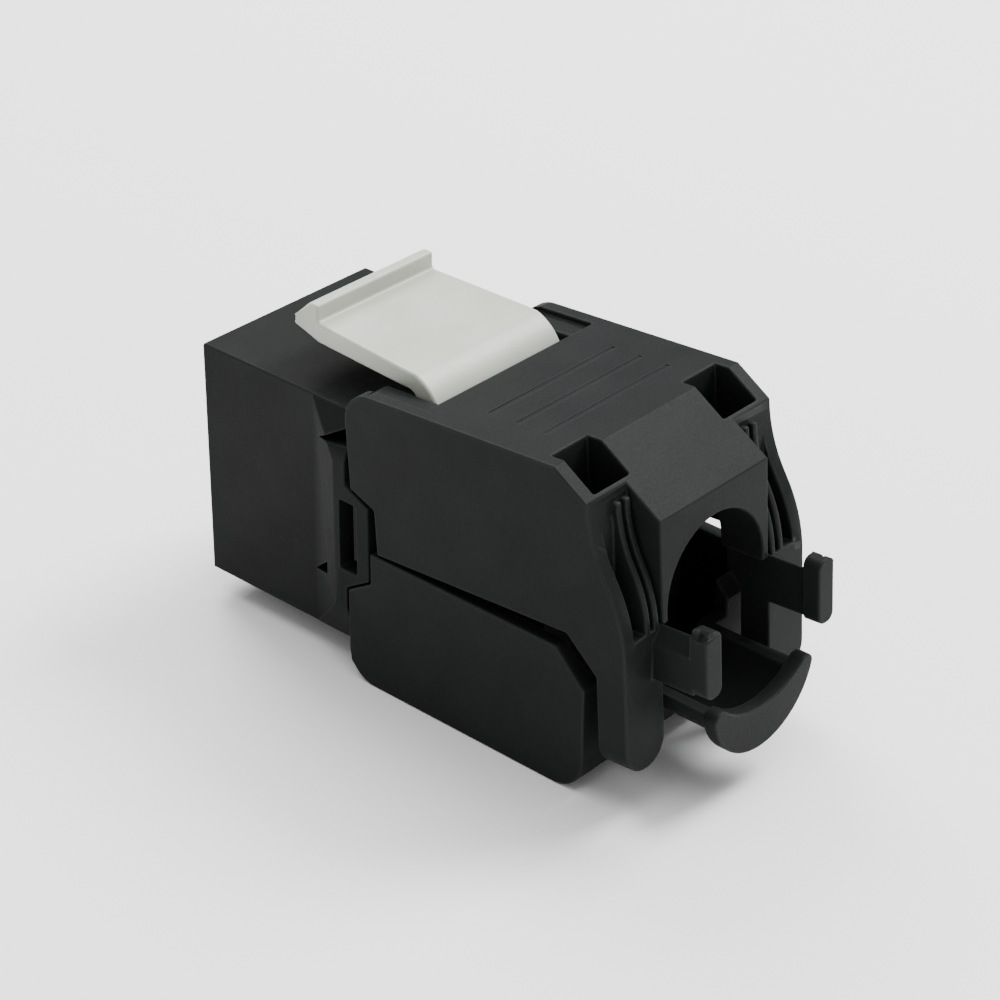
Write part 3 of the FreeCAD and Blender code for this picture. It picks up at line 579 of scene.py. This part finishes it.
def room_beside(
    mesh: bpy.types.Mesh, edge: bpy.types.MeshEdge, face: bpy.types.MeshPolygon
) -> float:
    """Measure how far a face runs back from one of its edges.

    Args:
        mesh: The mesh.
        edge: The edge.
        face: One of the two faces beside it.

    Returns:
        The shortest distance across the face.
    """
    start, finish = (mesh.vertices[number].co for number in edge.vertices)
    along = (finish - start).normalized()
    inward = face.normal.cross(along)
    rim = [
        (mesh.vertices[one].co - start, mesh.vertices[other].co - start)
        for one, other in face.edge_keys
        if {one, other} != set(edge.vertices)
    ]
    length = (finish - start).length
    rooms = []
    for share in STATIONS:
        station = length * share
        for near, far in rim:
            before, after = near.dot(along) - station, far.dot(along) - station
            if before * after > 0 or before == after:
                continue
            part = before / (before - after)
            depth = abs(near.dot(inward) * (1 - part) + far.dot(inward) * part)
            if depth > TOUCHING:
                rooms.append(depth)
    return min(rooms, default=length)


@dataclass
class DressedNodes:
    """CAD nodes that keep their own shape and take a finish.

    Attributes:
        names: The nodes.
        finish: The finish they share.
    """

    names: list[str]
    finish: MouldedPlastic | PlatedMetal | LacqueredBoard

    def dress(self) -> None:
        """Give every node the finish."""
        material = self.finish.material()
        for name in self.names:
            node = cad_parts[name]
            for slot in node.material_slots:
                slot.material = material
            LOG.info("%s dressed in %s", name, self.finish.name)


@dataclass(frozen=True)
class Softbox:
    """A soft square light that faces the object.

    Attributes:
        name: The light's name.
        place: Where it hangs.
        side: Length of its side.
        power: Its power in watts.
    """

    name: str
    place: Triple
    side: float
    power: float


@dataclass
class Studio:
    """Pale floor, soft lights and the camera.

    Attributes:
        azimuth: Degrees round the object.
        elevation: Degrees above the floor.
        roll: Degrees that the camera leans.
        distance: Metres from the aim.
        aim: The point that the camera looks at.
        lens: Focal length in millimetres.
        sensor: Width of the camera's sensor in millimetres.
        nearest: Closest distance that the camera shows.
        farthest: Longest distance that the camera shows.
        floor_side: Length of the floor's side.
        floor_tone: Brightness of the floor's colour.
        floor_roughness: Roughness of the floor.
        surround: Strength of the white light all round.
        ceiling: Light from above on a level surface, in watts a square metre.
        ceiling_spread: Degrees across which the light from above is spread.
        ceiling_lean: Degrees that the light from above leans about X and Y.
        lit_point: The point that the softboxes face.
        softboxes: The lights that model the object.
    """

    azimuth: float = 131.556
    elevation: float = 30.783
    roll: float = 0.457
    distance: float = 0.18663
    aim: Triple = (-0.004912, 0.014, -0.002883)
    lens: float = 104.87
    sensor: float = 36.0
    nearest: float = 0.01
    farthest: float = 10.0
    floor_side: float = 6.0
    floor_tone: float = 0.93
    floor_roughness: float = 0.9
    surround: float = 0.62
    ceiling: float = 2.9
    ceiling_spread: float = 70.0
    ceiling_lean: tuple[float, float] = (4.0, -10.0)
    lit_point: Triple = (0.0, 0.015, 0.0)
    softboxes: tuple[Softbox, ...] = (
        Softbox(name="front_softbox", place=(-0.16, -0.30, 0.34), side=0.20, power=1.8),
        Softbox(name="key_softbox", place=(-0.28, 0.10, 0.34), side=0.17, power=2.8),
    )

    def direction(self) -> Vector:
        """Work out which way the camera stands from its aim.

        Returns:
            The unit vector from the aim back to the camera.
        """
        turn = math.radians(self.azimuth)
        rise = math.radians(self.elevation)
        level = math.cos(rise)
        return Vector((math.sin(turn) * level, -math.cos(turn) * level, math.sin(rise)))

    def place_camera(self) -> None:
        """Stand the camera at its angle."""
        back = self.direction()
        right = Vector((0, 0, 1)).cross(back).normalized()
        up = back.cross(right)
        data = bpy.data.cameras.new("camera")
        data.lens = self.lens
        data.sensor_width = self.sensor
        data.clip_start = self.nearest
        data.clip_end = self.farthest
        camera = bpy.data.objects.new("camera", data)
        bpy.context.collection.objects.link(camera)
        lean = Matrix.Rotation(math.radians(self.roll), 3, "Z")
        turn = Matrix((right, up, back)).transposed() @ lean
        stand = Matrix.Translation(Vector(self.aim) + back * self.distance)
        camera.matrix_world = stand @ turn.to_4x4()
        bpy.context.scene.camera = camera

    def lay_floor(self) -> None:
        """Lay the pale floor under the lowest point."""
        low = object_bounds()[0]
        bpy.ops.object.select_all(action="DESELECT")
        bpy.ops.mesh.primitive_plane_add(size=self.floor_side, location=(0, 0, low.z))
        floor = bpy.context.object
        floor.name = "floor"
        finish = FinishNodes("floor_white")
        tone = self.floor_tone
        finish.shader.inputs["Base Color"].default_value = (tone, tone, tone, 1.0)
        finish.shader.inputs["Roughness"].default_value = self.floor_roughness
        floor.data.materials.append(finish.material)
        floor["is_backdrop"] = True

    def surround_with_light(self) -> None:
        """Set the even white light all round."""
        world = bpy.data.worlds.new("studio")
        world.use_nodes = True
        background = world.node_tree.nodes["Background"]
        background.inputs["Color"].default_value = (1.0, 1.0, 1.0, 1.0)
        background.inputs["Strength"].default_value = self.surround
        bpy.context.scene.world = world

    def light_from_above(self) -> None:
        """Light the floor evenly from above."""
        data = bpy.data.lights.new("ceiling", "SUN")
        data.energy = self.ceiling
        data.angle = math.radians(self.ceiling_spread)
        lamp = bpy.data.objects.new("ceiling", data)
        bpy.context.collection.objects.link(lamp)
        about_x, about_y = self.ceiling_lean
        lamp.rotation_euler = (math.radians(about_x), math.radians(about_y), 0)

    def hang(self, softbox: Softbox) -> None:
        """Hang one softbox and face it to the object.

        Args:
            softbox: The light to hang.
        """
        data = bpy.data.lights.new(softbox.name, "AREA")
        data.shape = "SQUARE"
        data.size = softbox.side
        data.energy = softbox.power
        lamp = bpy.data.objects.new(softbox.name, data)
        bpy.context.collection.objects.link(lamp)
        lamp.location = Vector(softbox.place)
        lamp.rotation_mode = "QUATERNION"
        line = Vector(self.lit_point) - lamp.location
        lamp.rotation_quaternion = line.to_track_quat("-Z", "Y")

    def build(self) -> None:
        """Set the whole stage."""
        self.place_camera()
        self.lay_floor()
        self.surround_with_light()
        self.light_from_above()
        for softbox in self.softboxes:
            self.hang(softbox)


def main() -> None:
    """Dress every piece in order and set the stage."""
    logging.basicConfig(level=logging.INFO, format="%(name)s: %(message)s")
    shells = [
        MouldedShell("front_housing", "jack_body", "body_plastic", BODY_BLACK, 0.12 * MM),
        MouldedShell("upper_cover", "upper_lid", "body_plastic", COVER_BLACK, 0.12 * MM),
        MouldedShell("lower_cover", "lower_lid", "body_plastic", COVER_BLACK, 0.12 * MM),
        MouldedShell("release_latch", "latch", "latch_plastic", LATCH_GREY, 0.21 * MM),
    ]
    for shell in shells:
        shell.build()
    rows = ("upper", "lower")
    inserts = ["contact_carrier"]
    inserts += [f"terminal_block_{row}" for row in rows]
    inserts += [f"{row}_wire_comb" for row in rows]
    DressedNodes(inserts, INSERT_BLACK).dress()
    contacts = [f"plug_contact_{number}" for number in range(1, 9)]
    DressedNodes(contacts, CONTACT_GOLD).dress()
    blades = [f"wire_terminal_{row}_{number}" for row in rows for number in range(1, 5)]
    DressedNodes(blades, BLADE_TIN).dress()
    DressedNodes(["circuit_board"], BOARD_GREEN).dress()
    Studio().build()


if __name__ == "__main__":
    main()
